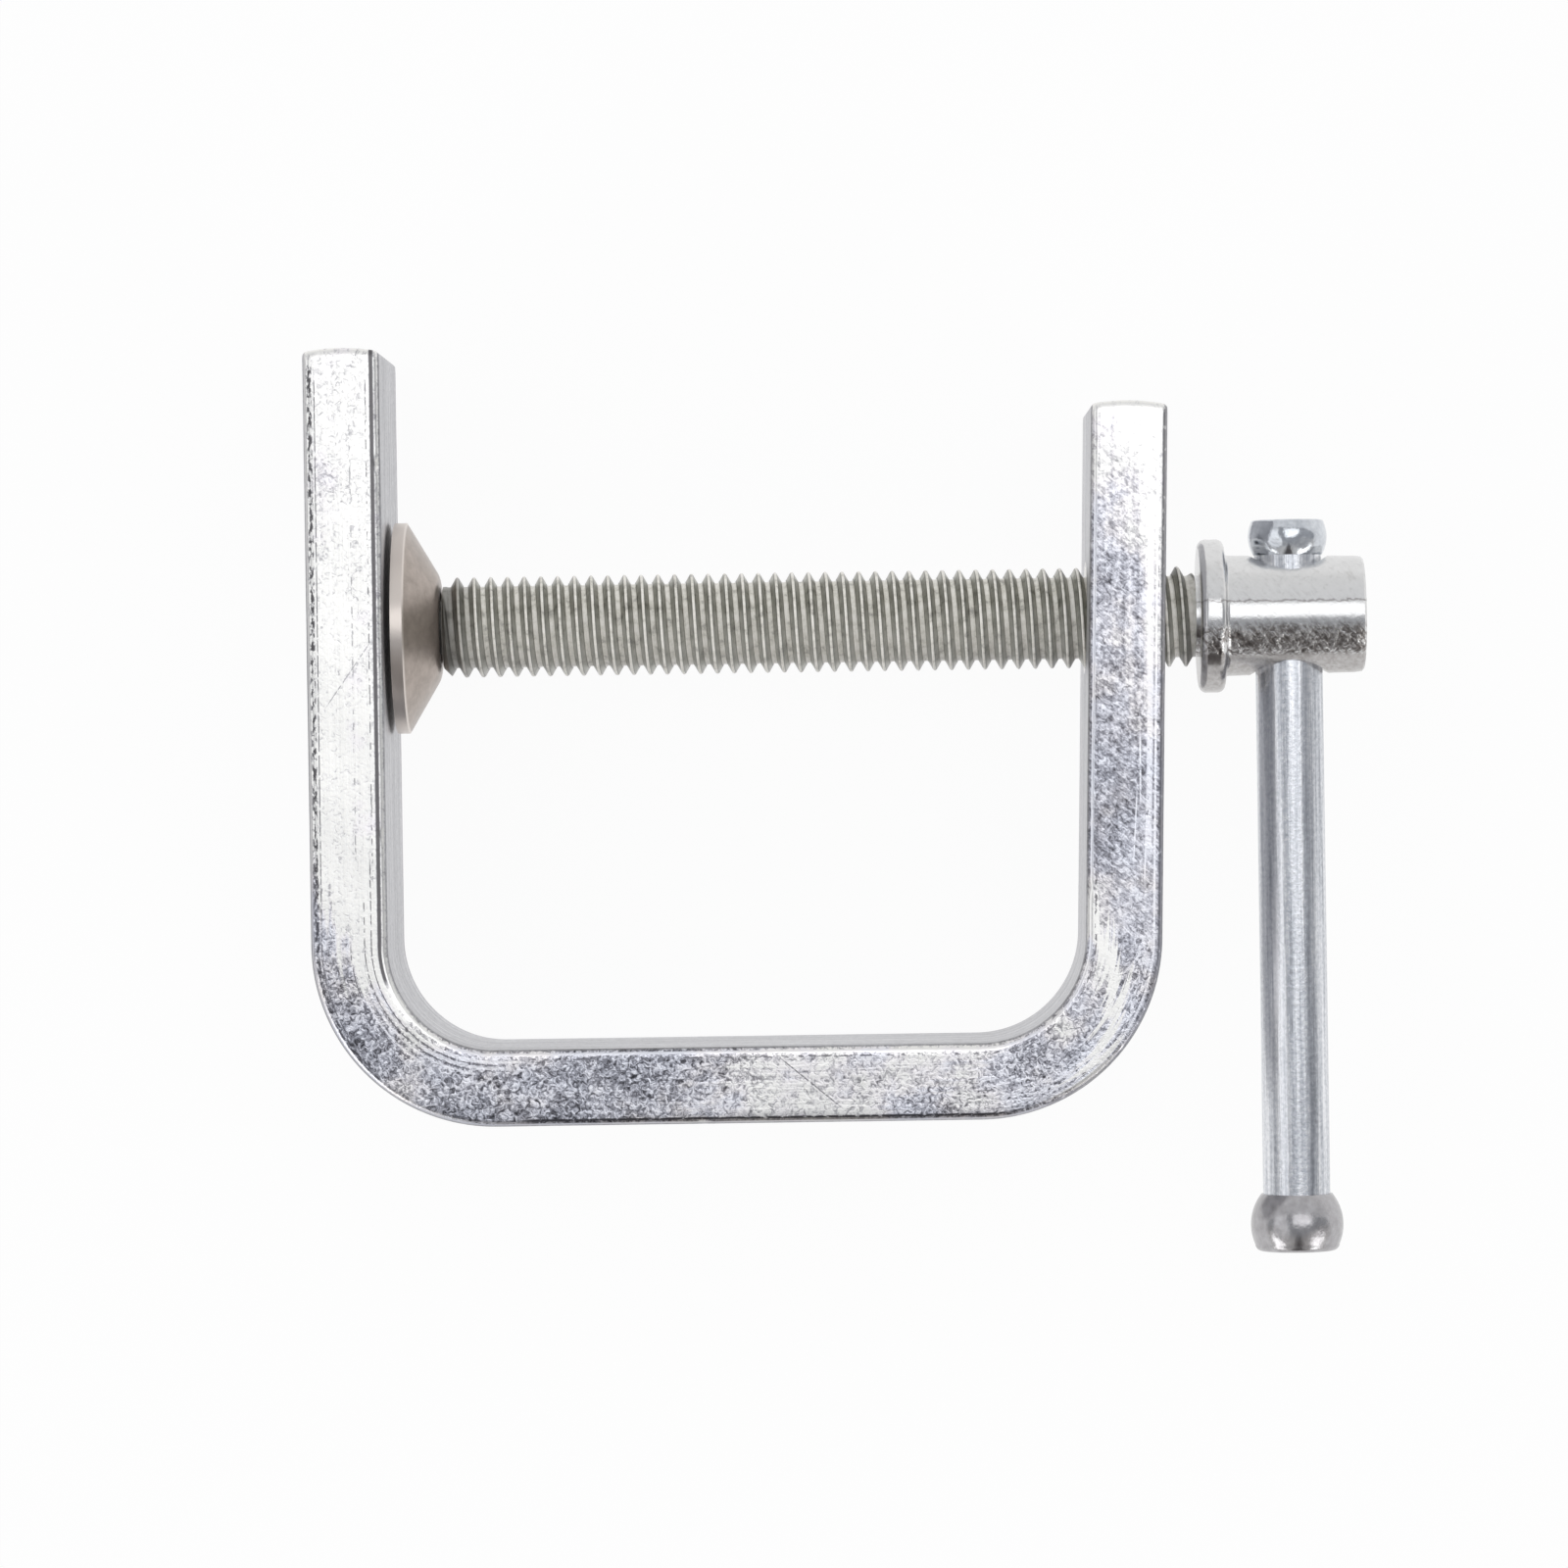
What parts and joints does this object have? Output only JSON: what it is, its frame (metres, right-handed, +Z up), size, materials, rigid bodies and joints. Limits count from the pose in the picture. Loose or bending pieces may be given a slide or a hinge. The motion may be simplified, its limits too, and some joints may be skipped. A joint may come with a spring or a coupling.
{
  "type": "screw clamp",
  "caption": "U-shaped screw clamp bent from flat steel bar, with a swivel pad on the tip of its screw and a sliding bar through the screw's head.",
  "frame": {"origin": "the point on the fixed jaw's face at which the screw is aimed, half way across the bar's width", "axes": "+X along the screw from the fixed jaw to the screw's head, +Y towards the tips of the two legs, +Z up as the clamp lies on its side"},
  "size_m": [0.1252, 0.1088, 0.03],
  "materials": {
    "zinc_plated_bar": "bright zinc plate over hot-rolled bar, mottled and lightly scratched",
    "zinc_plated_screw": "zinc plate over a rolled thread, satin, slightly olive",
    "spring_wire": "drawn spring steel, dull",
    "turned_pad": "turned steel, satin, warm grey",
    "plated_rod": "zinc plate over drawn rod, with streaks along its length"
  },
  "bodies": {
    "frame": {"frame": "zinc_plated_bar"},
    "carrier": {"snap_ring": "spring_wire"},
    "spindle": {"spindle": "zinc_plated_screw"},
    "swivel_pad": {"swivel_pad": "turned_pad"},
    "tommy_bar": {"tommy_bar": "plated_rod"}
  },
  "joints": [
    {"name": "screw_feed", "type": "slide", "parent": "frame", "child": "carrier", "axis": [1, 0, 0], "range_m": [0, 0.0765]},
    {"name": "screw_turn", "type": "hinge", "parent": "carrier", "child": "spindle", "pos_m": [0, 0, 0], "axis": [1, 0, 0], "range_deg": [0, 13680]},
    {"name": "pad_tilt", "type": "hinge", "parent": "carrier", "child": "swivel_pad", "pos_m": [0.00784, 0, 0], "axis": [0, 0, 1], "range_deg": [-3, 3]},
    {"name": "tommy_bar_slide", "type": "slide", "parent": "spindle", "child": "tommy_bar", "axis": [0, 1, 0], "range_m": [0, 0.062]}
  ],
  "couplings": [
    {"joint": "screw_feed", "follows": "screw_turn", "m_per_rad": 0.00031831}
  ]
}
